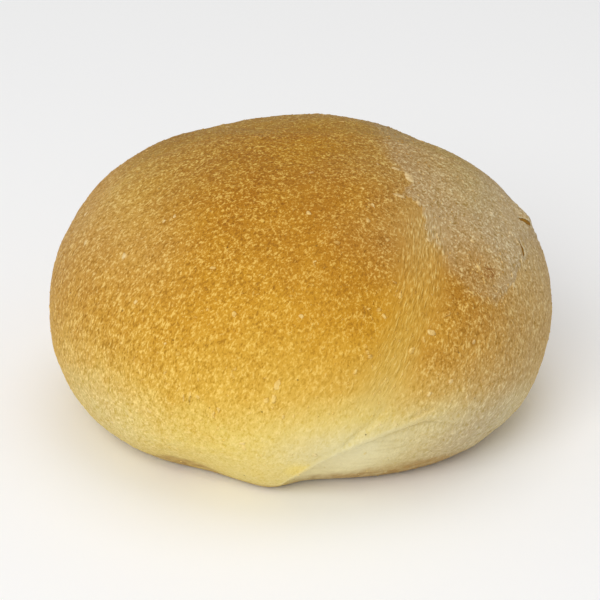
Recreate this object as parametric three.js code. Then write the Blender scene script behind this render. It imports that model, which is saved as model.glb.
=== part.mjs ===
// A round bread roll, baked on a flat sheet. The dough was rounded by hand and its edge tucked under, so the
// front right carries a fold: the upper skin ends in a lip over a paler lower lobe, and a tongue of skin
// comes down beside it. The crown has a second, lower lobe behind a shallow valley.
//
// Millimetres, +Z up, standing on z = 0. The front is -Y and the right is +X. A place on the surface is an
// azimuth, from the front towards the right, and a polar angle, from the crown down.
import * as THREE from "three";

// Body
const WIDTH = 103; // side to side, at the waist
const DEPTH = 94; // front to back, at the waist
const HEIGHT = 57.6; // table to crown
const WAIST_HEIGHT = 22; // the level where the roll is widest
const UNDER_DEPTH = 35.5; // reach of the round underside below the waist, had the sheet not flattened it
const FULLNESS = 0.97; // 1 is an ellipsoid, and less makes squarer shoulders
const FOOT_ROUND = 2; // half the height in which the side turns in to the flat foot
const LEVELLING = 2; // how soon, below the waist, the relief stands out level instead of square to the skin

// Broad swellings and hollows of the skin: height along the outward direction, and angular spread
const SWELLINGS = [
  { name: "left shoulder", azimuth: -125, polar: 62, height: 2.0, spread: 22 },
  { name: "left cheek", azimuth: -60, polar: 110, height: 1.6, spread: 20 },
  { name: "right cheek", azimuth: 60, polar: 112, height: 0.9, spread: 20 },
  { name: "right lobe", azimuth: 46, polar: 72, height: 0.5, spread: 15 },
  { name: "back lobe", azimuth: 176, polar: 34, height: 0.3, spread: 16 },
  { name: "blister", azimuth: 95, polar: 61, height: 0.6, spread: 4.5 },
  { name: "tongue of skin", azimuth: -10, polar: 128, height: 0.6, spread: 8 },
  { name: "dent left of the tongue", azimuth: -33, polar: 123, height: -1.9, spread: 12 },
];

// Valley behind the crown, curving back at both ends
const VALLEY = { y: 9.5, midX: 4, bend: 0.02, depth: 0.65, halfWidth: 3.8, reach: 23, fullAbove: 50 };

// Furrow that runs from the right shoulder down to the fold, between two places on the surface
const FURROW = {
  from: { azimuth: 66, polar: 36 },
  to: { azimuth: 17, polar: 89 },
  depth: 0.4,
  spread: 6, // angle across it
};

// Tuck: the line, round the lower side, where the skin was folded under
const TUCK_HEIGHT = 20; // where it runs level
const TUCK_FOOT = 2; // where it meets the tongue
const TUCK_RIGHT = { start: -5, climb: 15 }; // azimuths: leaves the tongue, and climbs
const TUCK_LEFT = { start: -14, climb: 51 };
const FOLD = { opens: -10, open: 2, fade: 26, creaseDepth: 2.5, footDepth: 2.3 }; // right of the tongue
const LIP_ROUND = 0.7; // how far the lip's edge turns in, per unit of fold
const LIP_LENGTH = 1.4; // distance along the skin in which it does so
const CREASE_GAP = 0.7; // distance along the skin from the lip's edge to the crease, where nothing is folded
const CREASE_LIFT = 0.4; // how far the crease runs up behind the lip, as a share of its depth

// Slow unevenness of hand-shaped dough: waves that run in scattered directions, each shorter and lower
const UNEVEN = { waves: 7, longest: 38, height: 0.2, ratio: 0.84, phase: 2.15 };

// Facets
const FACET = 2.5; // side of a facet of the skin
const DOME_RINGS = 30; // from the crown to the skin above the lip
const LIP_STEPS = [4.2, 2.6, 1.5, 0.7, 0]; // distances of the rings above the lip's edge
const LOBE_RINGS = 8; // from the crease down to the foot
// Rings across the flat foot, as shares of its outline, with facets that grow towards the middle
const FOOT_RINGS = [
  { share: 0.94, facet: 3 },
  { share: 0.8, facet: 6 },
  { share: 0.45, facet: 12 },
];

const RING_SAMPLES = 48; // places at which a ring's girth is measured
const RING_LEAST = 6; // fewest facets of a ring

const GOLDEN_ANGLE = Math.PI * (3 - Math.sqrt(5));

const rad = THREE.MathUtils.degToRad;
const { sin, cos, exp, hypot, max, round, PI } = Math;
const { smoothstep, lerp } = THREE.MathUtils;

// The signed turn from one azimuth to another, from -PI to PI
function turn(from, to) {
  return THREE.MathUtils.euclideanModulo(to - from + PI, 2 * PI) - PI;
}

// A bell curve: 1 at 0, and 1/e at 1
function bell(x) {
  return exp(-x * x);
}

// The unit vector from the waist's centre towards a place on the surface
function towards(azimuth, polar) {
  return new THREE.Vector3(sin(polar) * sin(azimuth), -sin(polar) * cos(azimuth), cos(polar));
}

// The waist's outline, an ellipse: its radius at an azimuth
function waistRadius(azimuth) {
  return 1 / hypot(sin(azimuth) / (WIDTH / 2), cos(azimuth) / (DEPTH / 2));
}

// How far the dome rises above the waist, or the underside falls below it
function rise(polar) {
  return polar < PI / 2 ? HEIGHT - WAIST_HEIGHT : UNDER_DEPTH;
}

// The body before the skin's relief
function plainPoint(azimuth, polar) {
  const radius = waistRadius(azimuth) * max(sin(polar), 0) ** FULLNESS;
  return new THREE.Vector3(
    radius * sin(azimuth),
    -radius * cos(azimuth),
    WAIST_HEIGHT + rise(polar) * cos(polar),
  );
}

// Which way the relief stands out: square to the dome above the waist, and turning level below it
function outward(azimuth, polar) {
  const direction = towards(azimuth, polar);
  const turning = polar < PI / 2 ? 1 : bell(LEVELLING * direction.z);
  direction.divide(new THREE.Vector3(waistRadius(azimuth), waistRadius(azimuth), rise(polar)));
  direction.z *= turning;
  return direction.normalize();
}

function swellings(azimuth, polar) {
  const direction = towards(azimuth, polar);
  let height = 0;
  for (const s of SWELLINGS) {
    const centre = towards(rad(s.azimuth), rad(s.polar));
    height += s.height * bell(direction.angleTo(centre) / rad(s.spread));
  }
  return height;
}

function valley(point) {
  const x = point.x - VALLEY.midX;
  const line = VALLEY.y + VALLEY.bend * x * x;
  const along = bell((x / VALLEY.reach) ** 2);
  const above = smoothstep(point.z, WAIST_HEIGHT, VALLEY.fullAbove);
  return -VALLEY.depth * along * above * bell((point.y - line) / VALLEY.halfWidth);
}

// The furrow follows the arc between its two ends, and fades out past them
function furrow(azimuth, polar) {
  const direction = towards(azimuth, polar);
  const from = towards(rad(FURROW.from.azimuth), rad(FURROW.from.polar));
  const to = towards(rad(FURROW.to.azimuth), rad(FURROW.to.polar));
  const axis = from.clone().cross(to).normalize();
  const across = Math.asin(direction.dot(axis));
  const share = Math.atan2(direction.dot(axis.clone().cross(from)), direction.dot(from)) / from.angleTo(to);
  const along = smoothstep(share, -0.3, 0.2) * (1 - smoothstep(share, 0.8, 1.2));
  return -FURROW.depth * along * bell(across / rad(FURROW.spread));
}

function uneven(point) {
  let height = 0;
  for (let i = 0; i < UNEVEN.waves; i++) {
    const direction = towards(i * GOLDEN_ANGLE, Math.acos(1 - (2 * i + 1) / UNEVEN.waves));
    const share = UNEVEN.ratio ** i;
    const phase = (2 * PI * point.dot(direction)) / (UNEVEN.longest * share) + UNEVEN.phase * (i + 1);
    height += UNEVEN.height * share * sin(phase);
  }
  return height;
}

// The tuck's height above the table: a V with the tongue between its arms
function tuckHeight(azimuth) {
  const right = turn(rad(TUCK_RIGHT.start), azimuth);
  const left = turn(azimuth, rad(TUCK_LEFT.start));
  const climbRight = right > 0 ? 1 - exp(-right / rad(TUCK_RIGHT.climb)) : 0;
  const climbLeft = left > 0 ? 1 - exp(-left / rad(TUCK_LEFT.climb)) : 0;
  return TUCK_FOOT + (TUCK_HEIGHT - TUCK_FOOT) * max(climbRight, climbLeft);
}

// The polar angle, under the waist, of a height above the table
function polarAt(height) {
  return Math.acos((height - WAIST_HEIGHT) / UNDER_DEPTH);
}

// How strongly the skin is folded in under the lip: 1 where the fold is deepest
function foldAt(azimuth) {
  const right = turn(rad(FOLD.open), azimuth);
  const opening = smoothstep(turn(rad(FOLD.opens), azimuth), 0, rad(FOLD.open - FOLD.opens));
  return opening * bell(max(right, 0) / rad(FOLD.fade));
}

// The skin at a place, moved in by an inset and up by a lift, and flattened by the table
function skinPoint(azimuth, polar, inset = 0, lift = 0) {
  const point = plainPoint(azimuth, polar);
  const relief = swellings(azimuth, polar) + valley(point) + furrow(azimuth, polar) + uneven(point);
  point.addScaledVector(outward(azimuth, polar), relief - inset);
  point.z = onTable(point.z + lift);
  return point;
}

// A height turned in smoothly to the table's 0
function onTable(z) {
  if (z > FOOT_ROUND) return z;
  return z > -FOOT_ROUND ? (z + FOOT_ROUND) ** 2 / (4 * FOOT_ROUND) : 0;
}

// A ring of places, evenly spaced in azimuth: as many as its girth has facets
function ring(place, facet = FACET) {
  const around = (count) => Array.from({ length: count }, (_, i) => place(turn(0, (2 * PI * i) / count)));
  const samples = around(RING_SAMPLES);
  const girth = samples.reduce((sum, point, i) => sum + point.distanceTo(samples.at(i - 1)), 0);
  return around(max(RING_LEAST, round(girth / facet)));
}

function domeRings() {
  const rings = [];
  for (let i = 1; i < DOME_RINGS; i++) rings.push(ring((azimuth) => domePoint(azimuth, i / DOME_RINGS)));
  for (const distance of LIP_STEPS) rings.push(ring((azimuth) => lipPoint(azimuth, distance)));
  return rings;
}

// A share of the way from the crown to the skin above the lip
function domePoint(azimuth, share) {
  const end = polarAt(tuckHeight(azimuth)) - (LIP_STEPS[0] + FACET / 2) / UNDER_DEPTH;
  return skinPoint(azimuth, share * end);
}

// A place a given distance up the skin from the lip's edge, which turns in where it is folded
function lipPoint(azimuth, distance) {
  const polar = polarAt(tuckHeight(azimuth)) - distance / UNDER_DEPTH;
  return skinPoint(azimuth, polar, LIP_ROUND * foldAt(azimuth) * exp(-distance / LIP_LENGTH));
}

// A share of the way down the lower lobe, from the crease behind the lip to the foot
function lobePoint(azimuth, share) {
  const top = polarAt(tuckHeight(azimuth)) + CREASE_GAP / UNDER_DEPTH;
  const foot = polarAt(-FOOT_ROUND);
  const fold = foldAt(azimuth);
  const inset = fold * lerp(FOLD.footDepth, FOLD.creaseDepth, (1 - share) ** 1.5);
  const lift = fold * FOLD.creaseDepth * CREASE_LIFT * (1 - share) ** 2;
  return skinPoint(azimuth, lerp(top, foot, share), inset, lift);
}

function lobeRings() {
  const rings = [];
  for (let i = 0; i <= LOBE_RINGS; i++) rings.push(ring((azimuth) => lobePoint(azimuth, i / LOBE_RINGS)));
  return rings;
}

function footRings() {
  return FOOT_RINGS.map(({ share, facet }) =>
    ring((azimuth) => lobePoint(azimuth, 1).multiply(new THREE.Vector3(share, share, 0)), facet),
  );
}

// One closed surface through a top point, rings from the crown to the foot, and a bottom point
function closedSkin(top, rings, bottom) {
  const points = [top, ...rings.flat(), bottom];
  const faces = [];
  let start = 1;
  rings.forEach((upper, r) => {
    const lower = rings[r + 1];
    const next = start + upper.length;
    for (let i = 0; i < upper.length; i++) {
      const after = (i + 1) % upper.length;
      if (r === 0) faces.push(0, start + i, start + after);
      if (!lower) faces.push(points.length - 1, start + after, start + i);
    }
    if (lower) stitch(faces, start, upper.length, next, lower.length);
    start = next;
  });
  const geometry = new THREE.BufferGeometry().setFromPoints(points);
  geometry.setIndex(faces);
  geometry.computeVertexNormals();
  return geometry;
}

// The band of facets between two rings, taken by azimuth from whichever ring is behind
function stitch(faces, upperStart, upperCount, lowerStart, lowerCount) {
  let u = 0;
  let l = 0;
  while (u < upperCount || l < lowerCount) {
    const upper = upperStart + (u % upperCount);
    const lower = lowerStart + (l % lowerCount);
    if (l === lowerCount || (u < upperCount && (u + 0.5) / upperCount < (l + 0.5) / lowerCount)) {
      faces.push(upper, lower, upperStart + ((u + 1) % upperCount));
      u++;
    } else {
      faces.push(upper, lower, lowerStart + ((l + 1) % lowerCount));
      l++;
    }
  }
}

function crustMaterial() {
  return new THREE.MeshStandardMaterial({ color: 0xd39c48, roughness: 0.75, metalness: 0 });
}

// Moves a geometry so that the origin is under its middle
function centre(geometry) {
  geometry.computeBoundingBox();
  const middle = geometry.boundingBox.getCenter(new THREE.Vector3());
  return geometry.translate(-middle.x, -middle.y, 0);
}

function breadRoll() {
  const crown = skinPoint(0, 0);
  const rings = [...domeRings(), ...lobeRings(), ...footRings()];
  const bottom = new THREE.Vector3(0, 0, 0);
  const mesh = new THREE.Mesh(centre(closedSkin(crown, rings, bottom)), crustMaterial());
  mesh.name = "bread_roll";
  return mesh;
}

const roll = new THREE.Group();
roll.add(breadRoll());

export default roll;
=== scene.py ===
"""The looks of a round bread roll: a dry golden crust over the whole of it, paler low down, with a floury
patch on its right shoulder, a lip of skin folded over a pale lobe at the front right, cracks and flakes.

Lengths in the tables are in millimetres. A place is an azimuth, from the front (-Y) towards the right (+X),
and a polar angle, from the crown down, both in degrees.
"""
import math

import bmesh
import bpy
import numpy as np
from mathutils import Euler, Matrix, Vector


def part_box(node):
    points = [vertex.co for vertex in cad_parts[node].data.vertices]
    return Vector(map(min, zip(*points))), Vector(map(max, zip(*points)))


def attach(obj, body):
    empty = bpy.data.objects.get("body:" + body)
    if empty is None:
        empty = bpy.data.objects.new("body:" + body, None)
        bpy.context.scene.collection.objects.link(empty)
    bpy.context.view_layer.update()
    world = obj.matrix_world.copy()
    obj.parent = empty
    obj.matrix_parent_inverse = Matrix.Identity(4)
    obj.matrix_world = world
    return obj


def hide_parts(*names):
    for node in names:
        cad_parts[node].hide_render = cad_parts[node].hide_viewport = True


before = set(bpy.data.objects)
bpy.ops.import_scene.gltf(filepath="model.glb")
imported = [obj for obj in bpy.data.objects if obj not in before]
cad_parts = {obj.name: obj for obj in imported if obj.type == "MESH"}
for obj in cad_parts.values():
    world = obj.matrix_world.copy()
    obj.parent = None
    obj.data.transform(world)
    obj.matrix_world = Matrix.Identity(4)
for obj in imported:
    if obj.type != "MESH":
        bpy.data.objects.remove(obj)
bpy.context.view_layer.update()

MM = 0.001

# ---- Sizes ----

low, high = (np.array(corner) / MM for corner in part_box("bread_roll"))
HALF_WIDTH, HALF_DEPTH = (high - low)[:2] / 2
CROWN = high[2]
WAIST = 22.0  # the level where the roll is widest
UNDER = 35.5  # reach of the round underside below the waist, had the sheet not flattened it

# The tuck: the line, round the lower side, where the skin was folded under
TUCK = {"height": 20.0, "foot": 2.0}
TUCK_RIGHT = {"start": -5.0, "climb": 15.0}
TUCK_LEFT = {"start": -14.0, "climb": 51.0}
FOLD = {"from": -10.0, "to": 2.0, "fade": 26.0}


def rad(degrees):
    return degrees * math.pi / 180


def bell(x):
    """1 at 0, and 1/e at 1."""
    return np.exp(-np.square(x))


def smooth(x, low, high):
    """0 below low, 1 above high, and a smooth step between."""
    t = np.clip((x - low) / (high - low), 0, 1)
    return t * t * (3 - 2 * t)


def place(azimuth, polar):
    """The direction of a place from the roll's middle."""
    a, p = rad(azimuth), rad(polar)
    return np.array([math.sin(p) * math.sin(a), -math.sin(p) * math.cos(a), math.cos(p)])


class Skin:
    """Where each point of a mesh is on the roll: millimetres, direction, azimuth and polar angle."""

    def __init__(self, mesh):
        co, normal = (np.empty(len(mesh.vertices) * 3) for _ in range(2))
        mesh.vertices.foreach_get("co", co)
        mesh.vertices.foreach_get("normal", normal)
        self.points = co.reshape(-1, 3) / MM
        self.normals = normal.reshape(-1, 3)
        x, y, z = self.points.T
        rise = np.where(z > WAIST, CROWN - WAIST, UNDER)
        self.z = z
        self.directions = np.stack([x / HALF_WIDTH, y / HALF_DEPTH, (z - WAIST) / rise], 1)
        self.directions /= np.linalg.norm(self.directions, axis=1, keepdims=True)
        self.azimuth = np.degrees(np.arctan2(self.directions[:, 0], -self.directions[:, 1]))
        self.polar = np.degrees(np.arccos(np.clip(self.directions[:, 2], -1, 1)))

    def turn(self, azimuth):
        """Signed turn from an azimuth to each point, in degrees."""
        return (self.azimuth - azimuth + 180) % 360 - 180

    def nearest(self, azimuth, polar):
        """The index of the point nearest to a place."""
        return int(np.argmax(self.directions @ place(azimuth, polar)))

    def spot(self, at, spread):
        """A soft round spot: 1 in its middle, and 1/e at its spread in degrees."""
        angle = np.arccos(np.clip(self.directions @ place(*at), -1, 1))
        return bell(angle / rad(spread))

    def along(self, start, end):
        """How far each point is along an arc between two places, 0 to 1, and across it, in degrees."""
        a, b = place(*start), place(*end)
        axis = np.cross(a, b)
        axis /= np.linalg.norm(axis)
        share = np.arctan2(self.directions @ np.cross(axis, a), self.directions @ a) / math.acos(a @ b)
        return share, np.degrees(np.arcsin(self.directions @ axis))

    def tuck(self):
        """The tuck's height at each point's azimuth."""
        right = 1 - np.exp(-np.maximum(self.turn(TUCK_RIGHT["start"]), 0) / TUCK_RIGHT["climb"])
        left = 1 - np.exp(-np.maximum(-self.turn(TUCK_LEFT["start"]), 0) / TUCK_LEFT["climb"])
        return TUCK["foot"] + (TUCK["height"] - TUCK["foot"]) * np.maximum(right, left)

    def fold(self):
        """How strongly the skin is folded at each point's azimuth."""
        opening = smooth(self.turn(FOLD["from"]), 0, FOLD["to"] - FOLD["from"])
        return opening * bell(np.maximum(self.turn(FOLD["to"]), 0) / FOLD["fade"])


# ---- Node trees ----

class Tree:
    """Short ways to add nodes. A value is a number, a tuple or another node's socket."""

    def __init__(self, tree):
        self.tree = tree

    def feed(self, socket, value):
        if isinstance(value, bpy.types.NodeSocket):
            self.tree.links.new(value, socket)
        elif value is not None:
            socket.default_value = value

    def add(self, kind, inputs=None, **settings):
        node = self.tree.nodes.new(kind)
        for name, value in settings.items():
            setattr(node, name, value)
        for key, value in (inputs or {}).items():
            self.feed(node.inputs[key], value)
        return node

    def math(self, operation, a, b=None, c=None, clamp=False):
        node = self.add("ShaderNodeMath", operation=operation, use_clamp=clamp)
        for socket, value in zip(node.inputs, (a, b, c)):
            self.feed(socket, value)
        return node.outputs[0]

    def total(self, *terms):
        result = terms[0]
        for term in terms[1:]:
            result = self.math("ADD", result, term)
        return result

    def times(self, *factors):
        result = factors[0]
        for factor in factors[1:]:
            result = self.math("MULTIPLY", result, factor)
        return result

    def vector(self, operation, a, b=None):
        node = self.add("ShaderNodeVectorMath", operation=operation)
        self.feed(node.inputs[0], a)
        self.feed(node.inputs["Scale" if operation == "SCALE" else 1], b)
        return node.outputs["Value" if operation == "LENGTH" else "Vector"]

    def step(self, value, low, high):
        """0 below low, 1 above high, and a smooth step between."""
        node = self.add("ShaderNodeMapRange", interpolation_type="SMOOTHSTEP")
        for key, item in (("Value", value), ("From Min", low), ("From Max", high)):
            self.feed(node.inputs[key], item)
        return node.outputs["Result"]

    def noise(self, vector, size, detail=2.0, warp=0.0):
        """Noise about 0, from -0.5 to 0.5, whose lumps are about size millimetres."""
        node = self.add(
            "ShaderNodeTexNoise",
            {"Vector": vector, "Scale": 1 / (size * MM), "Detail": detail, "Distortion": warp},
        )
        return self.math("SUBTRACT", node.outputs[0], 0.5)

    def band(self, value, middle, reach, core):
        """1 where a value is within core of a middle, down to 0 at its reach."""
        return self.step(self.math("ABSOLUTE", self.math("SUBTRACT", value, middle)), reach, core)

    def away(self, arc_place):
        """The distance from the nearest arc's edge, from where each point is against it."""
        across, past, half = self.add("ShaderNodeSeparateXYZ", {0: arc_place}).outputs
        distance = self.vector("LENGTH", self.add("ShaderNodeCombineXYZ", {0: across, 1: past}).outputs[0])
        return self.math("SUBTRACT", distance, half)


class Form(Tree):
    """A new Geometry Nodes tree with a geometry in and out, and named number and object inputs."""

    def __init__(self, name, inputs):
        super().__init__(bpy.data.node_groups.new(name, "GeometryNodeTree"))
        sockets = self.tree.interface
        sockets.new_socket("Geometry", in_out="INPUT", socket_type="NodeSocketGeometry")
        for key, value in inputs.items():
            kind = {int: "NodeSocketInt", float: "NodeSocketFloat"}.get(type(value), "NodeSocketObject")
            sockets.new_socket(key, in_out="INPUT", socket_type=kind)
        sockets.new_socket("Geometry", in_out="OUTPUT", socket_type="NodeSocketGeometry")
        self.given = self.add("NodeGroupInput").outputs
        self.position = self.add("GeometryNodeInputPosition").outputs[0]
        self.normal = self.add("GeometryNodeInputNormal").outputs[0]

    def marked(self, name, kind="FLOAT"):
        """What is stored on the mesh under a name."""
        return self.add("GeometryNodeInputNamedAttribute", {"Name": name}, data_type=kind).outputs[0]

    def keep(self, geometry, name, value, domain="POINT"):
        """The geometry with a value stored on it under a name."""
        inputs = {"Geometry": geometry, "Name": name, "Value": value}
        node = self.add("GeometryNodeStoreNamedAttribute", inputs, data_type="FLOAT", domain=domain)
        return node.outputs[0]

    def lumps(self, size, detail, where, output=0):
        """Noise from 0 to 1, whose lumps are as large as a named input."""
        inputs = {"Vector": where, "Scale": self.math("DIVIDE", 1 / MM, self.given[size]), "Detail": detail}
        return self.add("ShaderNodeTexNoise", inputs).outputs[output]

    def aligned(self, vector, axis, turn=None, pivot="AUTO"):
        """A turn that points an axis along a vector."""
        inputs = {"Rotation": turn, "Vector": vector}
        return self.add("FunctionNodeAlignRotationToVector", inputs, axis=axis, pivot_axis=pivot).outputs[0]

    def close(self, last, material):
        """Ends the tree: instances made real, smooth shading, and the material set."""
        real = self.add("GeometryNodeRealizeInstances", {"Geometry": last})
        shaded = self.add("GeometryNodeSetShadeSmooth", {"Geometry": real.outputs[0]})
        made = self.add("GeometryNodeSetMaterial", {"Geometry": shaded.outputs[0], "Material": material})
        self.feed(self.add("NodeGroupOutput").inputs[0], made.outputs[0])
        return self.tree


# ---- The crust's form ----

def fine_copy(node, levels):
    """A smooth, finely divided copy of a CAD node's mesh."""
    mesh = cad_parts[node].data.copy()
    mesh.materials.clear()
    work = bmesh.new()
    work.from_mesh(mesh)
    bmesh.ops.remove_doubles(work, verts=work.verts, dist=0.01 * MM)
    for face in work.faces:
        face.smooth = True
    work.to_mesh(mesh)
    work.free()
    rough = bpy.data.objects.new("rough", mesh)
    bpy.context.scene.collection.objects.link(rough)
    divide = rough.modifiers.new("divide", "SUBSURF")
    divide.levels = divide.render_levels = levels
    return finished(rough)


def finished(source):
    """The mesh of an object with its modifiers applied. The object itself is removed."""
    bpy.context.view_layer.update()
    mesh = bpy.data.meshes.new_from_object(source.evaluated_get(bpy.context.evaluated_depsgraph_get()))
    bpy.data.objects.remove(source)
    return mesh


def store(mesh, name, values):
    """Stores a value for each point of a mesh, in place of any it had under that name."""
    values = np.asarray(values, np.float32)
    kind, key = ("FLOAT", "value") if values.ndim == 1 else ("FLOAT_VECTOR", "vector")
    if name in mesh.attributes:
        mesh.attributes.remove(mesh.attributes[name])
    mesh.attributes.new(name, kind, "POINT").data.foreach_set(key, values.ravel())


# How brown the crust is, from 0 pale to 1 brown, and how dry, from 0 glossy gold to 1 dusty grey: what the
# height on the roll gives, and soft spots that add to it or take from it
BAKE_LINE = {"height": 16, "front": 14, "azimuth": -7, "spread": 28, "half_width": 29}
BAKE = {"pale": 0.12, "brown": 0.92}
BAKE_SPOTS = {
    "right shoulder": {"at": (75, 60), "amount": -0.30, "spread": 25},
    "left shoulder": {"at": (-50, 50), "amount": -0.15, "spread": 20},
    "above the fold": {"at": (15, 100), "amount": -0.30, "spread": 15},
    "under the right lobe": {"at": (35, 95), "amount": -0.20, "spread": 10},
    "right lobe": {"at": (47, 58), "amount": 0.11, "spread": 12},
    "right lobe, low": {"at": (28, 75), "amount": 0.07, "spread": 5},
    "low front": {"at": (-10, 84), "amount": 0.05, "spread": 10},
    "left of the streak": {"at": (20, 56), "amount": -0.05, "spread": 5},
    "middle of the crown": {"at": (-60, 15), "amount": 0.05, "spread": 25},
    "edge of the lip": {"at": (0, 112), "amount": 0.10, "spread": 2.5},
    "pock in the patch": {"at": (55.4, 58.6), "amount": 0.55, "spread": 1.5},
    "brownest, left of the middle": {"at": (-20, 35), "amount": 0.03, "spread": 25},
    "left cheek": {"at": (-50, 95), "amount": -0.20, "spread": 20},
    "behind the crown": {"at": (-120, 38), "amount": 0.08, "spread": 9},
    "far left": {"at": (-90, 50), "amount": -0.20, "spread": 20},
    "lower lobe": {"at": (55, 105), "amount": -0.15, "spread": 10},
    "behind the patch": {"at": (95, 46), "amount": -0.16, "spread": 18},
}
DRY = 0.30
DRY_SPOTS = {
    "pock in the patch": {"at": (55.4, 58.6), "amount": -0.30, "spread": 1.4},
    "glossy crown": {"at": (35, 40), "amount": -0.65, "spread": 40},
    "lower lobe": {"at": (45, 110), "amount": 0.70, "spread": 25},
    # Drier at the right and left sides: partly dust, partly painted sheen, the greyer look of the crust where
    # it turns edge-on
    "right side, dust and painted sheen": {"at": (90, 60), "amount": 0.70, "spread": 35},
    "front": {"at": (-45, 105), "amount": -0.60, "spread": 40},
    "left side, dust and painted sheen": {"at": (-85, 60), "amount": 0.20, "spread": 25},
    "left cheek": {"at": (-50, 105), "amount": 0.70, "spread": 25},
    "beside the patch": {"at": (40, 35), "amount": 0.55, "spread": 25},
    "under the patch": {"at": (60, 65), "amount": 0.10, "spread": 15},
    "far side of the patch": {"at": (95, 45), "amount": 0.20, "spread": 15},
    "back": {"at": (175, 50), "amount": 0.30, "spread": 30},
    "middle of the patch": {"at": (70, 50), "amount": 0.25, "spread": 10},
    "back of the crown": {"at": (185, 3), "amount": -0.22, "spread": 13},
    "foot of the patch": {"at": (49, 57), "amount": -0.25, "spread": 8},
    "tip of the patch": {"at": (62, 59), "amount": -0.15, "spread": 4},
    "crown beside the patch": {"at": (31, 25), "amount": -0.17, "spread": 9},
    "left of the crown": {"at": (-47, 49), "amount": 0.13, "spread": 12},
    "brownest, left of the middle": {"at": (-20, 35), "amount": -0.12, "spread": 25},
    "above the lip": {"at": (3, 103), "amount": 0.25, "spread": 9.5},
    "edge of the lip": {"at": (0, 112), "amount": -0.70, "spread": 2.5},
}
# The floury patch on the right shoulder: its torn border, over the crown, down the streak and round the back
BORDER = [
    (150, 29), (130, 23.5), (100, 19), (79, 20), (69, 26), (63, 27.5), (51, 28.5), (54.5, 31), (54.5, 35),
    (48, 38.5), (45, 43), (46, 46.5), (43, 52), (44.5, 61), (51, 66.5), (57, 66), (62, 64.5), (66, 63),
    (74, 63), (82, 60), (100, 72), (125, 72), (145, 60), (154, 44),
]
PATCH = {"bake": -0.05, "dry": 0.40, "reach": 14, "softness": 2.6, "raggedness": 1.2, "edge": (-0.12, 0.2)}
# Where the border is a clear edge: elsewhere it fades out softly
SHARP = {
    "top": {"at": (58, 32), "amount": 1.0, "spread": 16},
    "foot": {"at": (64, 66), "amount": 1.0, "spread": 14},
}
# The streak of stretched skin beside the patch: it starts and fades out over shares of its length
STREAK = {"from": (50, 37), "to": (13, 92), "spread": 6.0, "bake": -0.17, "dry": 0.09, "stretch": 5.5}
STREAK_ENDS = {"starts": -0.2, "full": 0.15, "fading": 0.7, "ends": 1.05}
CHEEK = {"at": (-45.0, 95.0), "spread": 22.0}  # the rougher skin low on the left
BLISTER = {"at": (92.0, 60.0), "spread": 3.0}
# The band behind the crown, of duller skin darkened with painted shade of the valley there, by how far back
# it is, and between what polar angles it fades out
BACK = {"starts": 5.0, "full": 8.5, "fading": 18.0, "ends": 34.0}
REAR = {"starts": -28.0, "full": 4.0}
CROWN_EDGE = (36.0, 56.0)
FOOT = (0.1, 2.6)  # the heights between which the relief comes in
FOLD_LEAST = 0.01  # where the fold is weaker, there is no lobe under the lip
LOBE_FADE = {"fold": 0.4, "by": 6.0}  # below this fold, the lobe is drawn out from under the lip
NO_LOBE = -20.0
# How brown the roll's foot is, browned by the sheet and darkened by painted shade along it, and where it
# reaches higher up, under the lobe and beside the tuck, as painted shade
SCORCHED_AND_SHADED = {"height": 2.8, "soft": 2.2, "least": 0.55, "more": 0.35, "under": (126.0, 140.0)}
SCORCH_AND_SHADE_SPOTS = {
    "under the lobe": {"azimuth": 26.0, "spread": 22.0, "higher": 4.6},
    "left of the tuck": {"azimuth": -34.0, "spread": 9.0, "higher": 3.6},
}
# Cracks, and soft creases: arcs between two places, with half their width in millimetres
CRACKS = {
    "right, upper": {"from": (77.2, 58.8), "to": (73.2, 62.7), "half": 0.27},
    "right, lower": {"from": (79.0, 69.5), "to": (78.5, 73.0), "half": 0.16},
    "under the blister": {"from": (88.6, 57.0), "to": (91.0, 62.5), "half": 0.36},
}
CREASES = {
    "above the lip, low": {"from": (9.5, 100.5), "to": (12.2, 96.7), "half": 0.15},
    "above the lip, middle": {"from": (12.2, 96.7), "to": (15.0, 93.5), "half": 0.35},
    "above the lip, high": {"from": (15.0, 93.5), "to": (19.0, 88.0), "half": 0.15},
    "beyond the lip": {"from": (25.0, 93.5), "to": (29.0, 91.5), "half": 0.1},
}


def spots(skin, table):
    """What the soft spots of a table add up to at each point."""
    return sum(spot["amount"] * skin.spot(spot["at"], spot["spread"]) for spot in table.values())


def between(x, ends):
    """1 in a stretch, and 0 outside it, with smooth ends."""
    return smooth(x, ends["starts"], ends["full"]) * (1 - smooth(x, ends["fading"], ends["ends"]))


def streak(skin):
    """How strongly each point is in the streak."""
    share, across = skin.along(STREAK["from"], STREAK["to"])
    return between(share, STREAK_ENDS) * bell(across / STREAK["spread"])


def store_colour(mesh, skin):
    """Stores how brown and how dry the crust is at each point."""
    front = bell(skin.turn(BAKE_LINE["azimuth"]) / BAKE_LINE["spread"])
    line = BAKE_LINE["height"] + BAKE_LINE["front"] * front
    reach = BAKE_LINE["half_width"]
    height = BAKE["pale"] + (BAKE["brown"] - BAKE["pale"]) * smooth(skin.z, line - reach, line + reach)
    store(mesh, "bake", height + spots(skin, BAKE_SPOTS) + STREAK["bake"] * streak(skin))
    store(mesh, "dry", DRY + spots(skin, DRY_SPOTS) + STREAK["dry"] * streak(skin))


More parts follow.
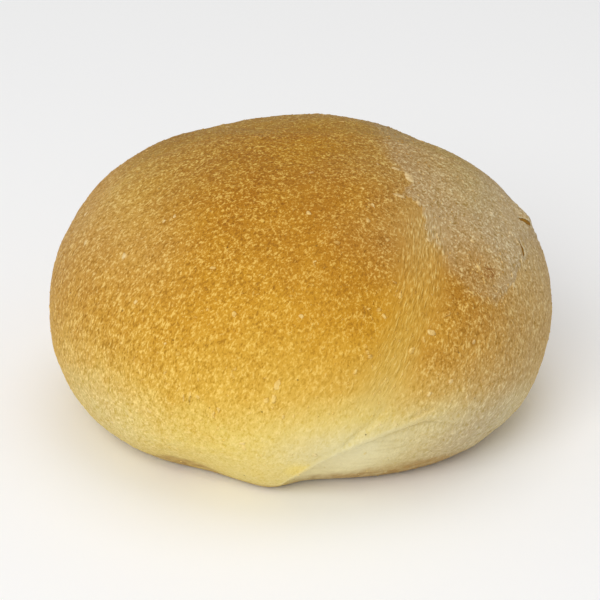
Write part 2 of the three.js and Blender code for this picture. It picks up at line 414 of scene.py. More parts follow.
def mark(mesh):
    """Stores, at each point of the crust, what its relief and its finish follow."""
    skin = Skin(mesh)
    border = border_distance(skin)
    back = skin.points[:, 1]
    crown = 1 - smooth(skin.polar, *CROWN_EDGE)
    store_colour(mesh, skin)
    store(mesh, "border", border)
    store(mesh, "fade", bell(np.maximum(border, 0) / degrees_to_mm(PATCH["reach"])))
    store(mesh, "sharp", spots(skin, SHARP))
    store(mesh, "back", between(back, BACK) * crown)
    store(mesh, "rear", smooth(back, REAR["starts"], REAR["full"]) * crown)
    store(mesh, "blister", skin.spot(**BLISTER))
    store(mesh, "cheek", skin.spot(**CHEEK))
    store(mesh, "foot", 1 - smooth(skin.z, *FOOT))
    store(mesh, "streak", streak(skin))
    store(mesh, "pulled", pulled(skin))
    store(mesh, "lobe", lobe_depth(skin))
    store(mesh, "crack", arc_place(skin, CRACKS, pointed=True))
    store(mesh, "crease", arc_place(skin, CREASES))
    store(mesh, "fold", skin.fold())
    store(mesh, "scorch", scorch(skin))


def pulled(skin):
    """Flat coordinates down the streak, squeezed along it so that noise in them comes out as long strokes."""
    share, across = skin.along(STREAK["from"], STREAK["to"])
    length = HALF_DEPTH * math.acos(place(*STREAK["from"]) @ place(*STREAK["to"]))
    return np.stack([degrees_to_mm(across), share * length / STREAK["stretch"], 0 * share], 1) * MM


def scorch(skin):
    """How brown the roll's foot is, by its height: browning from the sheet, and painted shade along the foot.
    """
    reach, most = SCORCHED_AND_SHADED["height"], smooth(skin.polar, *SCORCHED_AND_SHADED["under"])
    for spot in SCORCH_AND_SHADE_SPOTS.values():
        here = bell(skin.turn(spot["azimuth"]) / spot["spread"])
        reach, most = reach + spot["higher"] * here, np.maximum(most, here)
    browned = SCORCHED_AND_SHADED["least"] + SCORCHED_AND_SHADED["more"] * most
    return (1 - smooth(skin.z, reach - SCORCHED_AND_SHADED["soft"], reach)) * browned


def degrees_to_mm(degrees):
    """The length of an arc over the skin."""
    return rad(degrees) * HALF_DEPTH


def flat(azimuth, polar):
    """A place on a plain map with the crown in its middle, in degrees."""
    return np.stack([polar * np.sin(rad(azimuth)), polar * np.cos(rad(azimuth))], -1)


def border_distance(skin):
    """How far inside the floury patch each point is, in millimetres: below 0 outside it."""
    here, corners = flat(skin.azimuth, skin.polar), [flat(*corner) for corner in BORDER]
    nearest, inside = np.full(len(here), np.inf), np.zeros(len(here), bool)
    for start, end in zip(corners, corners[1:] + corners[:1]):
        way, offset = end - start, here - start
        share = np.clip(offset @ way / (way @ way), 0, 1)
        nearest = np.minimum(nearest, np.linalg.norm(offset - share[:, None] * way, axis=1))
        level = (here[:, 1] < start[1]) != (here[:, 1] < end[1])
        inside ^= level & (offset[:, 0] < offset[:, 1] * way[0] / (way[1] or 1))
    return degrees_to_mm(np.where(inside, nearest, -nearest))


def lobe_depth(skin):
    """How far under the lip each point of the lower lobe is, faded out where the fold ends."""
    fold = skin.fold()
    under = np.where(fold > FOLD_LEAST, skin.tuck() - skin.z, NO_LOBE)
    return under - LOBE_FADE["by"] * (1 - smooth(fold, 0.0, LOBE_FADE["fold"]))


def arc_place(skin, arcs, pointed=False):
    """Where each point is against the nearest arc: across it, past its ends, and the arc's half width."""
    nearest, result = np.full(len(skin.z), np.inf), np.zeros((len(skin.z), 3))
    for arc in arcs.values():
        share, across = skin.along(arc["from"], arc["to"])
        length = math.degrees(math.acos(place(*arc["from"]) @ place(*arc["to"])))
        past = np.maximum(np.maximum(-share, share - 1), 0) * length
        closer = np.hypot(across, past) < nearest
        nearest = np.where(closer, np.hypot(across, past), nearest)
        taper = np.sqrt(np.clip(4 * share * (1 - share), 0, 1)) if pointed else np.ones(len(share))
        here = np.stack([degrees_to_mm(across), degrees_to_mm(past), arc["half"] * taper], 1)
        result = np.where(closer[:, None], here, result)
    return result


# Heights and sizes of the relief, in millimetres
RELIEF = {
    "Swell Height": 0.34, "Swell Size": 13.0,
    "Dimple Height": 0.42, "Dimple Size": 4.5,
    "Pebble Height": 0.26, "Pebble Size": 1.6,
    "Cheek Height": 0.45, "Cheek Size": 0.9,
    "Wrinkle Height": 0.50, "Wrinkle Size": 1.5,
    "Streak Height": 0.10, "Streak Size": 0.6,
    "Border Height": 0.13, "Border Raggedness": 2.6, "Border Size": 2.4,
    "Crease Depth": 0.30, "Crease Softness": 0.9, "Crack Depth": 0.35, "Crack Softness": 0.7,
    "Lip Groove": 0.45, "Lip Rise": 0.22, "Blister Height": 0.9,
}
EVEN, UPRIGHT, LEVEL = (1.0, 1.0, 1.0), (1.0, 1.0, 0.35), (0.14, 0.14, 1.0)  # which way noise is drawn out
# Where some of it comes in: pebbles by bake, the patch's step by distance, and wrinkles down from the lip
PEBBLED, STEPPED, WRINKLED = (-0.4, 0.4), (-0.3, 0.4), (0.3, 2.0)
# Bands down from the lip's edge, in millimetres: the rise along the lip, and the groove under it
LIP_RISE = {"middle": -1.2, "reach": 1.2, "core": 0.2}
LIP_GROOVE = {"middle": 0.5, "reach": 0.7, "core": 0.1}


def relief_tree(material):
    """Raises the crust's relief along its normals, from the marks stored on it."""
    t = Form("crust relief", RELIEF)
    given, marked = t.given, t.marked

    def lumps(kind, detail, where=t.position, squeeze=EVEN):
        """Noise about 0, of a kind's own size and height."""
        noise = t.lumps(kind + " Size", detail, t.vector("MULTIPLY", where, squeeze))
        return t.times(t.math("SUBTRACT", noise, 0.5), given[kind + " Height"])

    def groove(kind):
        """A groove along the nearest arc, as deep as its kind is."""
        away = t.away(marked(kind.lower(), "FLOAT_VECTOR"))
        return t.times(t.step(away, given[kind + " Softness"], 0.0), given[kind + " Depth"])

    lobe, fold, streak = marked("lobe"), marked("fold"), marked("streak")
    tears = t.math("SUBTRACT", t.lumps("Border Size", 3.0, t.position), 0.5)
    ragged = t.total(marked("border"), t.times(tears, given["Border Raggedness"]))
    skin = t.keep(given["Geometry"], "ragged", ragged)
    raised = [
        lumps("Swell", 1.0),
        lumps("Dimple", 1.0),
        t.times(lumps("Pebble", 1.0), t.step(marked("bake"), *PEBBLED)),
        t.times(lumps("Cheek", 2.0, squeeze=UPRIGHT), marked("cheek")),
        t.times(t.step(ragged, *STEPPED), marked("fade"), given["Border Height"]),
        # Wrinkles lie level along the lower lobe, and run down the streak
        t.times(lumps("Wrinkle", 2.0, squeeze=LEVEL), t.step(lobe, *WRINKLED)),
        t.times(lumps("Streak", 2.0, where=marked("pulled", "FLOAT_VECTOR")), streak),
        t.times(t.band(lobe, **LIP_RISE), fold, given["Lip Rise"]),
        t.times(marked("blister"), given["Blister Height"]),
    ]
    sunk = [
        t.times(t.band(lobe, **LIP_GROOVE), fold, given["Lip Groove"]),
        groove("Crease"),
        groove("Crack"),
    ]
    height = t.math("SUBTRACT", t.total(*raised), t.total(*sunk))
    lifted = t.times(height, t.math("SUBTRACT", 1, marked("foot")), MM)
    moved = t.add("GeometryNodeSetPosition",
                  {"Geometry": skin, "Offset": t.vector("SCALE", t.normal, lifted)})
    return t.close(moved.outputs[0], material)


# Turns of the grain's long way from straight up, in radians, and how much longer than wide a speck is
GRAIN = {"tilt": (-0.10, 0.38, 0.0), "stretch": 1.8}


def stretched(t, vector):
    """Coordinates in which noise comes out drawn along the grain: by a turn, and then a squeeze along it."""
    turned = t.add("ShaderNodeVectorRotate", {"Vector": vector, "Rotation": GRAIN["tilt"]},
                   rotation_type="EULER_XYZ", invert=True).outputs[0]
    return t.vector("MULTIPLY", turned, (1, 1, 1 / GRAIN["stretch"]))


def with_nodes(mesh, group, values):
    """The mesh after a Geometry Nodes tree, with its inputs set by name."""
    source = bpy.data.objects.new("source", mesh)
    bpy.context.scene.collection.objects.link(source)
    modifier = source.modifiers.new("nodes", "NODES")
    modifier.node_group = group
    for item in group.interface.items_tree:
        if item.item_type == "SOCKET" and item.in_out == "INPUT" and item.name in values:
            modifier[item.identifier] = values[item.name]
    return finished(source)


def crust():
    mesh = fine_copy("bread_roll", levels=2)
    mark(mesh)
    return piece("crust", with_nodes(mesh, relief_tree(crust_finish()), RELIEF))


# Flakes of dry skin and flour: place, length and width, how far the long way leans from straight down to the
# right as seen from the front, and how pale they are
FLAKES = [
    # Torn skin along the patch's border
    {"at": (68, 26.5), "size": (3.8, 2.0), "lean": 5, "pale": 0.6},
    {"at": (70, 22.5), "size": (2.0, 1.1), "lean": 80, "pale": 0.55},
    {"at": (50, 28.5), "size": (3.0, 0.9), "lean": 85, "pale": 0.55},
    {"at": (55, 33.0), "size": (2.0, 0.9), "lean": 10, "pale": 0.55},
    {"at": (48.5, 43.5), "size": (2.5, 0.8), "lean": -5, "pale": 0.55},
    {"at": (45, 43.0), "size": (1.2, 0.8), "lean": 20, "pale": 0.55},
    # Beside the pock, and in the patch
    {"at": (53, 56.0), "size": (1.8, 1.0), "lean": 10, "pale": 0.5},
    {"at": (52, 59.0), "size": (2.2, 0.6), "lean": -10, "pale": 0.5},
    {"at": (77, 47.5), "size": (1.0, 0.9), "lean": 0, "pale": 0.55},
    {"at": (71, 50.0), "size": (0.8, 0.6), "lean": 0, "pale": 0.6},
    {"at": (73, 55.0), "size": (0.7, 0.5), "lean": 30, "pale": 0.6},
    {"at": (75.5, 55.3), "size": (0.8, 0.5), "lean": 0, "pale": 0.6},
    # Right lobe and streak
    {"at": (31, 68.0), "size": (2.0, 1.1), "lean": 75, "pale": 0.55},
    {"at": (29, 69.5), "size": (1.1, 0.6), "lean": -20, "pale": 0.3},
    {"at": (20.5, 60.7), "size": (1.1, 0.9), "lean": 0, "pale": 0.45},
    {"at": (25.5, 71.8), "size": (1.8, 0.8), "lean": -40, "pale": 0.3},
    {"at": (26, 55.5), "size": (2.0, 0.6), "lean": -15, "pale": 0.3},
    {"at": (14.6, 69.8), "size": (1.0, 0.8), "lean": 30, "pale": 0.3},
    {"at": (15.8, 58.6), "size": (2.6, 0.4), "lean": -10, "pale": 0.2},
    {"at": (36.4, 64.0), "size": (1.9, 0.5), "lean": -60, "pale": 0.25},
    {"at": (36, 74.0), "size": (1.2, 0.6), "lean": 30, "pale": 0.2},
    # Low front
    {"at": (-4.8, 79.0), "size": (2.4, 1.2), "lean": -25, "pale": 0.5},
    {"at": (-5.8, 83.4), "size": (1.9, 0.9), "lean": 10, "pale": 0.4},
    {"at": (-12.6, 103.0), "size": (1.4, 1.0), "lean": -20, "pale": 0.5},
    {"at": (-18.8, 91.0), "size": (1.7, 0.5), "lean": -15, "pale": 0.5},
    {"at": (-17.5, 88.5), "size": (1.3, 0.5), "lean": 15, "pale": 0.5},
    {"at": (-22.5, 85.7), "size": (1.0, 0.7), "lean": 0, "pale": 0.5},
    {"at": (-25.7, 86.7), "size": (1.9, 0.4), "lean": -15, "pale": 0.5},
    # Left cheek, and above it
    {"at": (-40, 98.5), "size": (2.2, 1.5), "lean": 20, "pale": 0.3},
    {"at": (-45, 95.0), "size": (2.4, 0.9), "lean": 40, "pale": 0.3},
    {"at": (-48, 90.5), "size": (3.2, 0.8), "lean": 25, "pale": 0.25},
    {"at": (-24, 87.0), "size": (3.0, 0.6), "lean": -12, "pale": 0.35},
    # Front of the crown
    {"at": (12.5, 34.0), "size": (0.9, 0.8), "lean": 0, "pale": 0.3},
    {"at": (12.6, 38.3), "size": (1.4, 0.9), "lean": 60, "pale": 0.3},
    {"at": (2.5, 50.0), "size": (1.3, 0.5), "lean": 80, "pale": 0.25},
    # Foot of the patch
    {"at": (45.5, 61.2), "size": (1.9, 0.5), "lean": 60, "pale": 0.45},
    {"at": (49.5, 65.0), "size": (1.6, 0.5), "lean": 50, "pale": 0.45},
    {"at": (54.0, 66.5), "size": (2.0, 0.5), "lean": -50, "pale": 0.45},
    {"at": (60.5, 65.6), "size": (1.3, 0.4), "lean": -25, "pale": 0.5},
    {"at": (62.5, 63.3), "size": (1.1, 0.4), "lean": -5, "pale": 0.5},
    {"at": (70.0, 62.4), "size": (2.2, 0.6), "lean": -30, "pale": 0.45},
    # Lifted skin at the cracks
    {"at": (75.0, 58.5), "size": (2.6, 0.7), "lean": 15, "pale": 0.35},
    {"at": (97, 60.0), "size": (3.0, 1.4), "lean": 45, "pale": 0.1},
]
DOWN = (0.0, -0.47, -0.88)  # straight down as seen from the front
FLAKE = {"Thickness": 0.16, "Raggedness": 1.0, "Tear Size": 0.7, "Least Height": -0.4}
FLAKE_HALF_THICK = 0.1  # before it is laid on the crust
# Small flakes strewn over the crust above a height: length, width as a share of it, and how pale they are
LOOSE = {
    "seed": 4, "count": 170, "above": 10.0,
    "length": (0.5, 1.4), "narrow": (0.45, 0.8), "pale": (0.2, 0.65),
}
GRAINED = (0.0, 0.6)  # the bake levels between which the grains come in
# Grains: how far apart, half their width, how much longer and flatter than wide, their turn and the palest
GRAINS = {
    "Spacing": 0.8, "Per Square Metre": 260000.0, "Seed": 7,
    "Least": 0.11, "Most": 0.21, "Longest": 2.6, "Flatness": 0.6, "Turn": 1.0, "Palest": 0.3,
}


def loose_flakes(skin):
    """Small flakes strewn over the crust: for each, its point, length, width, lean and paleness."""
    chance = np.random.default_rng(LOOSE["seed"])
    count = LOOSE["count"]
    found = chance.choice(np.flatnonzero(skin.z > LOOSE["above"]), count, replace=False)
    length = chance.uniform(*LOOSE["length"], count)
    width = length * chance.uniform(*LOOSE["narrow"], count)
    lean = chance.uniform(0, 180, count)
    pale = chance.uniform(*LOOSE["pale"], count)
    return np.stack([found, length, width, lean, pale], 1)


def flake_points(skin):
    """A mesh of one point for each flake, with its long way, its half sizes and its paleness."""
    placed = [(skin.nearest(*flake["at"]), *flake["size"], flake["lean"], flake["pale"]) for flake in FLAKES]
    found, length, width, lean, pale = np.concatenate([placed, loose_flakes(skin)]).T
    found, lean = found.astype(int), rad(lean)
    mesh = bpy.data.meshes.new("flake points")
    mesh.from_pydata(skin.points[found] * MM, [], [])
    store(mesh, "out", skin.normals[found])
    store(mesh, "long", np.outer(np.cos(lean), DOWN) + np.outer(np.sin(lean), (1, 0, 0)))
    store(mesh, "half", np.stack([length / 2, width / 2, np.full(len(found), FLAKE_HALF_THICK)], 1) * MM)
    store(mesh, "pale", pale)
    return mesh


def flake_tree(inputs, material):
    """A thin ragged flake on each point, laid on the crust."""
    t = Form("flakes", inputs)
    given, position = t.given, t.position
    ball = t.add("GeometryNodeMeshUVSphere", {"Segments": 12, "Rings": 5, "Radius": 1.0}).outputs[0]
    ball = t.keep(ball, "height", t.add("ShaderNodeSeparateXYZ", {0: position}).outputs["Z"])
    out, long, half = (t.marked(name, "FLOAT_VECTOR") for name in ("out", "long", "half"))
    lying = t.aligned(long, "X", turn=t.aligned(out, "Z"), pivot="Z")
    laid = t.add("GeometryNodeInstanceOnPoints",
                 {"Points": given["Geometry"], "Instance": ball, "Rotation": lying, "Scale": half})
    real = t.add("GeometryNodeRealizeInstances", {"Geometry": laid.outputs[0]})
    wobble = t.vector("SUBTRACT", t.lumps("Tear Size", 2.0, position, "Color"), (0.5, 0.5, 0.5))
    torn = t.add("GeometryNodeSetPosition", {
        "Geometry": real.outputs[0],
        "Offset": t.vector("SCALE", wobble, t.times(given["Raggedness"], MM)),
    })
    target = t.add("GeometryNodeObjectInfo", {"Object": given["Crust"]}).outputs["Geometry"]
    near = t.add("GeometryNodeProximity", {"Geometry": target}, target_element="FACES").outputs["Position"]
    up = t.add("GeometryNodeSampleNearestSurface",
               {"Mesh": target, "Value": t.normal, "Sample Position": position},
               data_type="FLOAT_VECTOR").outputs[0]
    rise = t.math("MAXIMUM", t.marked("height"), given["Least Height"])
    lift = t.vector("SCALE", up, t.times(rise, given["Thickness"], MM))
    lain = t.add("GeometryNodeSetPosition", {"Geometry": torn.outputs[0], "Position": near, "Offset": lift})
    return t.close(lain.outputs[0], material)


def grain_tree(inputs, material):
    """Small flat grains scattered over the browned crust, lying roughly along its grain."""
    t = Form("grains", inputs)
    given = t.given
    spread = t.add("GeometryNodeDistributePointsOnFaces", {
        "Mesh": given["Geometry"], "Distance Min": t.times(given["Spacing"], MM), "Seed": given["Seed"],
        "Density Max": given["Per Square Metre"], "Density Factor": t.step(t.marked("bake"), *GRAINED),
    }, distribute_method="POISSON")

    def drawn(low, high, lot):
        return t.add("FunctionNodeRandomValue", {2: low, 3: high, "Seed": lot}, data_type="FLOAT").outputs[1]

    wide = t.times(drawn(given["Least"], given["Most"], 1), MM)
    long, high = t.times(wide, drawn(1.0, given["Longest"], 2)), t.times(wide, given["Flatness"])
    size = t.add("ShaderNodeCombineXYZ", {0: long, 1: wide, 2: high})
    way = Euler(GRAIN["tilt"]).to_matrix() @ Vector((0, 0, 1))
    lying = t.aligned(way, "X", turn=spread.outputs["Rotation"], pivot="Z")
    spin = drawn(t.times(given["Turn"], -1.0), given["Turn"], 3)
    spin = t.add("ShaderNodeCombineXYZ", {2: spin}).outputs[0]
    turned = t.add("FunctionNodeRotateRotation", {
        "Rotation": lying, "Rotate By": t.add("FunctionNodeEulerToRotation", {0: spin}).outputs[0],
    }, rotation_space="LOCAL").outputs[0]
    ball = t.add("GeometryNodeMeshIcoSphere", {"Radius": 1.0, "Subdivisions": 1})
    laid = t.add("GeometryNodeInstanceOnPoints", {
        "Points": spread.outputs["Points"], "Instance": ball.outputs[0],
        "Rotation": turned, "Scale": size.outputs[0],
    })
    paled = t.keep(laid.outputs[0], "pale", drawn(0.0, given["Palest"], 4), "INSTANCE")
    return t.close(paled, material)


def scattered(name, mesh, tree, inputs):
    """A piece of many small parts, marked like the crust under them."""
    mesh = with_nodes(mesh, tree, inputs)
    skin = Skin(mesh)
    store_colour(mesh, skin)
    if "height" not in mesh.attributes:
        store(mesh, "height", np.ones(len(skin.z)))
    return piece(name, mesh)


def flour(base):
    """The flakes and the grains that lie on the crust."""
    material = flour_finish()
    inputs = dict(FLAKE, Crust=base)
    scattered("flakes", flake_points(Skin(base.data)), flake_tree(inputs, material), inputs)
    scattered("grains", base.data.copy(), grain_tree(GRAINS, material), GRAINS)


def piece(name, mesh):
    """A finished piece: it rides with the roll."""
    mesh.name = name
    made = bpy.data.objects.new(name, mesh)
    bpy.context.scene.collection.objects.link(made)
    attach(made, "root")
    return made


# ---- Finishes ----

def colour(red, green, blue):
    """A shader colour from the 0 to 255 values that a screen shows."""
    linear = [c / 12.92 if c <= 0.04045 else ((c + 0.055) / 1.055) ** 2.4
              for c in (red / 255, green / 255, blue / 255)]
    return (*linear, 1.0)


CRUST_ROUGHNESS, FLOUR_ROUGHNESS, SHEEN = 0.7, 0.85, 0.25
# The crust's colours from pale to brown, by bake: the glossy gold crust's, and the dusty crust's
GOLD = [
    (0.00, colour(238, 223, 150)), (0.25, colour(233, 205, 105)), (0.50, colour(219, 173, 60)),
    (0.75, colour(202, 146, 27)), (1.00, colour(170, 109, 0)),
]
DUSTY = [
    (0.00, colour(208, 203, 176)), (0.25, colour(203, 188, 151)), (0.50, colour(192, 165, 120)),
    (0.75, colour(178, 148, 105)), (1.00, colour(151, 118, 76)),
]
SPECK, PALE_SPECK, DUST_SPECK = colour(255, 217, 115), colour(250, 238, 180), colour(243, 231, 188)
# The foot's colour: browning from the sheet, with painted shade along the foot
SCORCH_AND_SHADE = colour(176, 138, 76)
# Inside the cracks: the crust's brown, darkened as painted shade in the slits and under the lifted skin
CRACK_AND_SHADE = colour(150, 104, 16)
FLOUR = colour(226, 208, 166)
CREAM = colour(243, 234, 192)
# What a colour is multiplied by in pits, in the streak, behind the crown, where it is partly painted shade,
# under the lip and in pores
WHITE = (1.0, 1.0, 1.0, 1.0)
SHADE, PALE_SHADE = (0.68, 0.62, 0.30, 1.0), (0.86, 0.80, 0.48, 1.0)
STREAK_SHADE = (0.98, 1.0, 0.98, 1.0)
REAR_SHADE = (0.95, 1.0, 0.88, 1.0)
# Behind the crown: duller skin, and painted shade of the valley there
BACK_DULL_AND_SHADE = (0.94, 0.96, 0.84, 1.0)
FOLD_SHADE = (0.60, 0.55, 0.46, 1.0)
SHADE_OF_FLOUR = (0.80, 0.76, 0.66, 1.0)
PORE_SHADE = (0.38, 0.33, 0.22, 1.0)

# Grains of the skin: lump size in millimetres, detail and warp, and how much smaller they are in the streak
FINE = {"size": 0.36, "detail": 1.0, "warp": 0.5}
MEDIUM = {"size": 0.74, "detail": 1.0, "warp": 0.6}
COARSE = {"size": 1.8, "detail": 2.0, "warp": 0.0}
IN_STREAK, STREAKED = 0.65, (0.1, 0.7)  # and how strong the streak is where it comes in
# The bake levels over which specks turn golden, and pits deep
BROWNED, DEEP = (-0.08, 0.48), (0.1, 0.8)
# How busy the specks and pits are: everywhere, and what is added where a mark is full
BUSY = {"pale": 0.56, "browned": 0.49, "fold": -0.2, "cheek": 0.45, "streak": -0.12}
QUIET_BACK = -0.3
# Unevenness of the bake: shares of coarse grain and of clouds, and how strong it is, and less in the streak
UNEVEN = {"coarse": 0.3, "clouds": 0.8, "cloud size": 5.0, "strength": 0.22, "streak": 0.16}
# Specks and pits: how fine, medium and coarse grain count, where they are full, and how strong they are
MIXED = (0.97, 0.85, 0.12)
SPECKS = {"full": 0.3, "strength": 0.64, "deep": 0.12}
PITS = {"full": -0.32, "strength": 0.95}
PORES = {"apart": 3.4, "edge": 0.065, "core": 0.035, "kept": 0.55, "strength": 0.6}
# Heights of the bumps, in millimetres
GRAIN_BUMPS = (0.12, 0.18, 0.20)  # fine, medium and coarse
BUMPS = {"pore": -0.15, "crack": -0.5, "flour": 0.15}
# Cracks: their waves, their soft edge, and the paler rim that fades from its core to its reach
CRACKED = {"wave": 0.9, "wave size": 1.8, "edge": 0.12, "core": 0.15, "reach": 0.6, "rim": 0.35}
# Bands down from the lip's edge, in millimetres: its cream edge, paler skin with a painted highlight on it,
# and the painted shadow line under it
LIP_CREAM_AND_HIGHLIGHT = {"middle": -1.0, "reach": 1.1, "core": 0.2}
LIP_SHADOW = {"middle": 0.3, "reach": 0.45, "core": 0.1}
# The lobe under the lip: where it starts and is open, its level streaks, and how strong each colour is
LOBE = {"under": (0.3, 1.5), "open": (0.35, 0.9), "way": (0.16, 0.16, 1.0), "size": 1.1, "faint": -0.3}
LOBE_STRENGTH = {"edge": 0.4, "cream": 0.65, "streaks": 0.6, "shadow": 0.75}
# The foot's brown is partly browning and partly painted shade
PATCHY = {"contrast": 1.6, "middle": 0.8}  # the browned foot
# The skin behind the crown, duller and darkened with painted shade: how much the patch hides it, and its
# uneven edge
DULLED_AND_SHADED = {"hidden": 0.9, "uneven": 0.8, "edge": (0.2, 0.7)}
# Flour: how uneven it is, from what height on a flake it is full, and how white it is for its paleness
FLOURY = {"uneven": 0.8, "edge": (-0.2, 0.7), "white": 0.7}


class Paint(Tree):
    """A new material's node tree, with the ways to colour it."""

    def __init__(self, name):
        self.material = bpy.data.materials.new(name)
        self.material.use_nodes = True
        super().__init__(self.material.node_tree)
        self.tree.nodes.clear()
        self.spot = self.add("ShaderNodeTexCoord").outputs["Object"]

    def marked(self, name, output="Fac"):
        return self.add("ShaderNodeAttribute", attribute_name=name).outputs[output]

    def blend(self, share, a, b, mode="MIX"):
        return self.add("ShaderNodeMix", {0: share, 6: a, 7: b}, data_type="RGBA", blend_type=mode).outputs[2]

    def multiply(self, a, b):
        return self.blend(1.0, a, b, "MULTIPLY")

    def ramp(self, level, stops):
        node = self.add("ShaderNodeValToRGB", {0: level})
        elements = node.color_ramp.elements
        elements[1].position = 1.0
        for position, value in stops[1:-1]:
            elements.new(position).color = value
        elements[0].color, elements[-1].color = stops[0][1], stops[-1][1]
        return node.outputs[0]

    def baked(self, bake, dry):
        """The crust's colour at a bake level and a dryness."""
        return self.blend(dry, self.ramp(bake, GOLD), self.ramp(bake, DUSTY))

    def finish(self, tint, roughness, bumps):
        bump = self.add("ShaderNodeBump", {"Strength": 1.0, "Distance": MM, "Height": bumps})
        shader = self.add("ShaderNodeBsdfPrincipled", {
            "Base Color": tint, "Roughness": roughness, "Specular IOR Level": SHEEN,
            "Normal": bump.outputs[0],
        })
        self.feed(self.add("ShaderNodeOutputMaterial").inputs[0], shader.outputs[0])
        return self.material


def skin_grain(t):
    """Fine, medium and coarse grain about 0, drawn out as the dough was stretched, and more in the streak."""
    along, drawn_out = stretched(t, t.spot), t.marked("pulled", "Vector")
    streak = t.step(t.marked("streak"), *STREAKED)

    def grain(kind):
        plain = t.noise(along, **kind)
        drawn = t.noise(drawn_out, IN_STREAK * kind["size"], kind["detail"])
        return t.add("ShaderNodeMix", {0: streak, 2: plain, 3: drawn}).outputs[0]

    return grain(FINE), grain(MEDIUM), grain(COARSE)


def speckled(t, grains, bake, dry):
    """The crust's colour with its lighter specks and darker pits, and how busy they are."""
    coarse = grains[2]
    browned, deep = t.step(bake, *BROWNED), t.step(bake, *DEEP)
    extra = [t.times(t.marked(mark), BUSY[mark]) for mark in ("fold", "cheek", "streak")]
    busy = t.total(t.times(browned, BUSY["browned"]), BUSY["pale"], *extra)
    quiet = t.total(busy, t.times(t.marked("back"), QUIET_BACK))

    clouds = t.noise(t.spot, UNEVEN["cloud size"])
    lumps = t.total(t.times(coarse, UNEVEN["coarse"]), t.times(clouds, UNEVEN["clouds"]))
    strength = t.math("SUBTRACT", UNEVEN["strength"], t.times(t.marked("streak"), UNEVEN["streak"]))
    tint = t.baked(t.total(bake, t.times(lumps, busy, strength)), dry)

    mixed = t.total(*[t.times(grain, share) for grain, share in zip(grains, MIXED)])
    speck = t.blend(dry, t.blend(browned, PALE_SPECK, SPECK), DUST_SPECK)
    strength = t.math("SUBTRACT", SPECKS["strength"], t.times(deep, SPECKS["deep"]))
    tint = t.blend(t.times(t.step(mixed, 0.0, SPECKS["full"]), quiet, strength), tint, speck)
    pit = t.times(t.step(mixed, 0.0, PITS["full"]), quiet, PITS["strength"])
    return t.blend(pit, tint, t.multiply(tint, t.blend(deep, PALE_SHADE, SHADE))), busy


def cracked(t, tint, dry):
    """The cracks, wavy, dark brown partly as painted shade, and each with a paler rim."""
    wave = t.times(t.noise(t.spot, CRACKED["wave size"]), CRACKED["wave"])
    wave = t.add("ShaderNodeCombineXYZ", {0: wave}).outputs[0]
    away = t.away(t.vector("ADD", t.marked("crack", "Vector"), wave))
    crack = t.step(away, CRACKED["edge"], 0.0)
    rim = t.times(t.step(away, CRACKED["reach"], CRACKED["core"]), t.math("SUBTRACT", 1, crack))
    tint = t.blend(t.times(rim, CRACKED["rim"]), tint, t.blend(dry, SPECK, DUST_SPECK))
    return t.blend(crack, tint, CRACK_AND_SHADE), crack


def folded(t, tint, coarse):
    """The lip's cream edge, partly a painted highlight, and its painted shadow, the level streaks of the lobe
    under it, and the foot's browning with painted shade.
    """
    lobe, fold = t.marked("lobe"), t.marked("fold")
    level = t.noise(t.vector("MULTIPLY", t.spot, LOBE["way"]), LOBE["size"])
    under, strength = t.step(lobe, *LOBE["under"]), LOBE_STRENGTH
    # The lip's edge: paler skin, with a painted highlight along its ridge
    edge = t.times(t.band(lobe, **LIP_CREAM_AND_HIGHLIGHT), fold, strength["edge"])
    cream = t.times(under, t.step(fold, *LOBE["open"]), strength["cream"])
    streaks = t.times(under, t.step(level, 0.0, LOBE["faint"]), strength["streaks"])
    shadow = t.times(t.band(lobe, **LIP_SHADOW), fold, strength["shadow"])
    tint = t.blend(cream, t.blend(edge, tint, CREAM), CREAM)
    tint = t.blend(streaks, tint, t.multiply(tint, SHADE_OF_FLOUR))
    tint = t.blend(shadow, tint, t.multiply(tint, FOLD_SHADE))
    mottle = t.times(t.total(coarse, level), PATCHY["contrast"])
    patchy = t.math("ADD", mottle, PATCHY["middle"], clamp=True)
    return t.blend(t.times(t.marked("scorch"), patchy), tint, SCORCH_AND_SHADE)


def patch_share(t, medium):
    """How far inside the floury patch a point is, 0 to 1: ragged at its border, and fading away from it."""
    border = t.total(t.marked("ragged"), t.times(medium, PATCH["raggedness"]))
    soft = t.times(t.math("SUBTRACT", 1, t.marked("sharp")), PATCH["softness"])
    outer, inner = PATCH["edge"]
    inside = t.step(border, t.math("SUBTRACT", outer, soft), t.math("ADD", inner, soft))
    return t.times(inside, t.marked("fade"))


def dulled_and_shaded(t, tint, coarse, inside):
    """A tint on the rear of the crown and in the streak, and behind the crown, duller skin darkened with
    painted shade of the valley there.
    """
    rear = t.times(t.marked("rear"), t.math("SUBTRACT", 1, t.times(inside, DULLED_AND_SHADED["hidden"])))
    tint = t.multiply(tint, t.blend(rear, WHITE, REAR_SHADE))
    tint = t.multiply(tint, t.blend(t.marked("streak"), WHITE, STREAK_SHADE))
    # Behind the crown: duller skin, darkened with painted shade of the valley there
    back = t.step(t.total(t.marked("back"), t.times(coarse, DULLED_AND_SHADED["uneven"])), *DULLED_AND_SHADED["edge"])
    return t.blend(t.times(back, t.marked("back")), tint, t.multiply(tint, BACK_DULL_AND_SHADE))


def pored(t, tint):
    """Small dark pores, and where they are."""
    cells = t.add("ShaderNodeTexVoronoi", {"Vector": t.spot, "Scale": 1 / (PORES["apart"] * MM)})
    chance = t.add("ShaderNodeSeparateColor", {0: cells.outputs["Color"]}).outputs[0]
    pore = t.step(cells.outputs["Distance"], PORES["edge"], PORES["core"])
    pore = t.times(pore, t.math("GREATER_THAN", chance, PORES["kept"]))
    return t.blend(t.times(pore, PORES["strength"]), tint, t.multiply(tint, PORE_SHADE)), pore


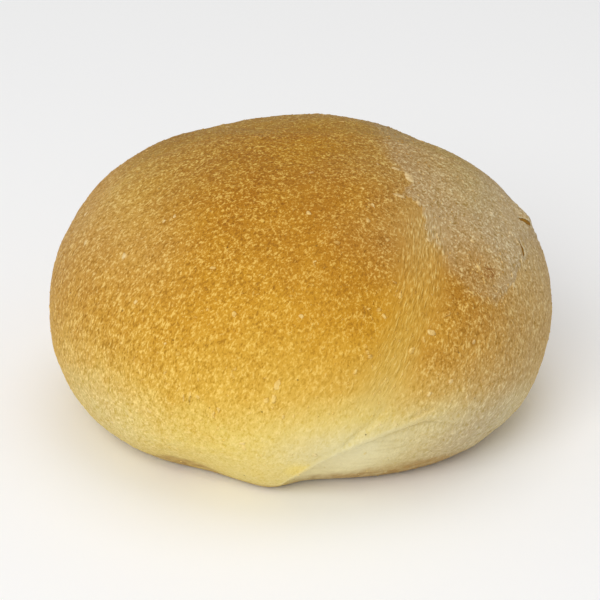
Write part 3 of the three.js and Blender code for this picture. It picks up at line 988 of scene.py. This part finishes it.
def crust_finish():
    """Dry baked crust: from pale to brown and from gold to dusty, with specks, strokes, pores and cracks."""
    t = Paint("crust")
    grains = _, medium, coarse = skin_grain(t)
    inside = patch_share(t, medium)
    bake = t.total(t.marked("bake"), t.times(inside, PATCH["bake"]))
    dry = t.math("ADD", t.marked("dry"), t.times(inside, PATCH["dry"]), clamp=True)
    tint, busy = speckled(t, grains, bake, dry)
    tint = folded(t, dulled_and_shaded(t, tint, coarse, inside), coarse)
    tint, crack = cracked(t, tint, dry)
    tint, pore = pored(t, tint)
    grained = [t.times(grain, busy, height) for grain, height in zip(grains, GRAIN_BUMPS)]
    bumps = t.total(*grained, t.times(pore, BUMPS["pore"]), t.times(crack, BUMPS["crack"]))
    return t.finish(tint, CRUST_ROUGHNESS, bumps)


def flour_finish():
    """Dry flakes and grains of flour and skin: like the crust at their edges, and paler in their middles."""
    t = Paint("flour")
    grains = skin_grain(t)
    medium = grains[1]
    dry = t.marked("dry")
    tint, _ = speckled(t, grains, t.marked("bake"), t.math("ADD", dry, 0.0, clamp=True))
    pale = t.marked("pale")
    share = t.math("ADD", pale, t.times(medium, FLOURY["uneven"]), clamp=True)
    share = t.times(share, t.step(t.marked("height"), *FLOURY["edge"]))
    floury = t.math("MULTIPLY_ADD", pale, FLOURY["white"], dry, clamp=True)
    tint = t.blend(share, tint, t.blend(floury, SPECK, FLOUR))
    return t.finish(tint, FLOUR_ROUGHNESS, t.times(medium, BUMPS["flour"]))


# ---- Floor, lights and camera ----

# Metres from here on, but for what the view takes in at its aim, and the sensor's width, in millimetres
VIEW = {
    "elevation": 28.0, "distance": 0.450, "aim": (-0.00014, 0.0, 0.0223),
    "mm_across": 123.5, "sensor": 36.0, "nearest": 0.01,
}
FLOOR = {"reach": 1.2, "colour": (0.96, 0.96, 0.96, 1.0), "roughness": 0.9}
LAMPS = {
    "key": {"at": (-0.40, -0.86, 0.82), "size": 0.8, "power": 7.8},
    "top": {"at": (0.1, 0.2, 1.15), "size": 0.8, "power": 2.6},
}
LIT = (0, 0, 0.025)  # the roll's middle, which the lamps point at
AMBIENT = 0.5


def floor():
    mesh = bpy.data.meshes.new("floor")
    reach = FLOOR["reach"]
    corners = [(-reach, -reach, 0), (reach, -reach, 0), (reach, reach, 0), (-reach, reach, 0)]
    mesh.from_pydata(corners, [], [(0, 1, 2, 3)])
    material = bpy.data.materials.new("floor")
    material.use_nodes = True
    shader = material.node_tree.nodes["Principled BSDF"]
    shader.inputs["Base Color"].default_value = FLOOR["colour"]
    shader.inputs["Roughness"].default_value = FLOOR["roughness"]
    mesh.materials.append(material)
    made = bpy.data.objects.new("floor", mesh)
    bpy.context.scene.collection.objects.link(made)


def aimed(made, position, aim):
    """Puts a lamp or the camera in its place, looking at a point."""
    made.location = position
    made.rotation_euler = (Vector(aim) - Vector(position)).to_track_quat("-Z", "Y").to_euler()
    bpy.context.scene.collection.objects.link(made)
    return made


def lights():
    """A soft key and top light in a pale studio."""
    for name, spec in LAMPS.items():
        lamp = bpy.data.lights.new(name, "AREA")
        lamp.energy, lamp.size = spec["power"], spec["size"]
        aimed(bpy.data.objects.new(name, lamp), spec["at"], LIT)
    world = bpy.data.worlds.new("studio")
    world.use_nodes = True
    background = world.node_tree.nodes["Background"]
    background.inputs["Color"].default_value = WHITE
    background.inputs["Strength"].default_value = AMBIENT
    bpy.context.scene.world = world
    bpy.context.scene.view_settings.view_transform = "Standard"


def camera():
    lens = bpy.data.cameras.new("camera")
    lens.sensor_width = VIEW["sensor"]
    lens.lens = VIEW["sensor"] * VIEW["distance"] / (VIEW["mm_across"] * MM)
    lens.clip_start = VIEW["nearest"]
    elevation, aim = rad(VIEW["elevation"]), Vector(VIEW["aim"])
    eye = aim + VIEW["distance"] * Vector((0, -math.cos(elevation), math.sin(elevation)))
    bpy.context.scene.camera = aimed(bpy.data.objects.new("camera", lens), eye, aim)


# ---- The scene ----

floor()
lights()
camera()
roll = crust()
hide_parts("bread_roll")
flour(roll)
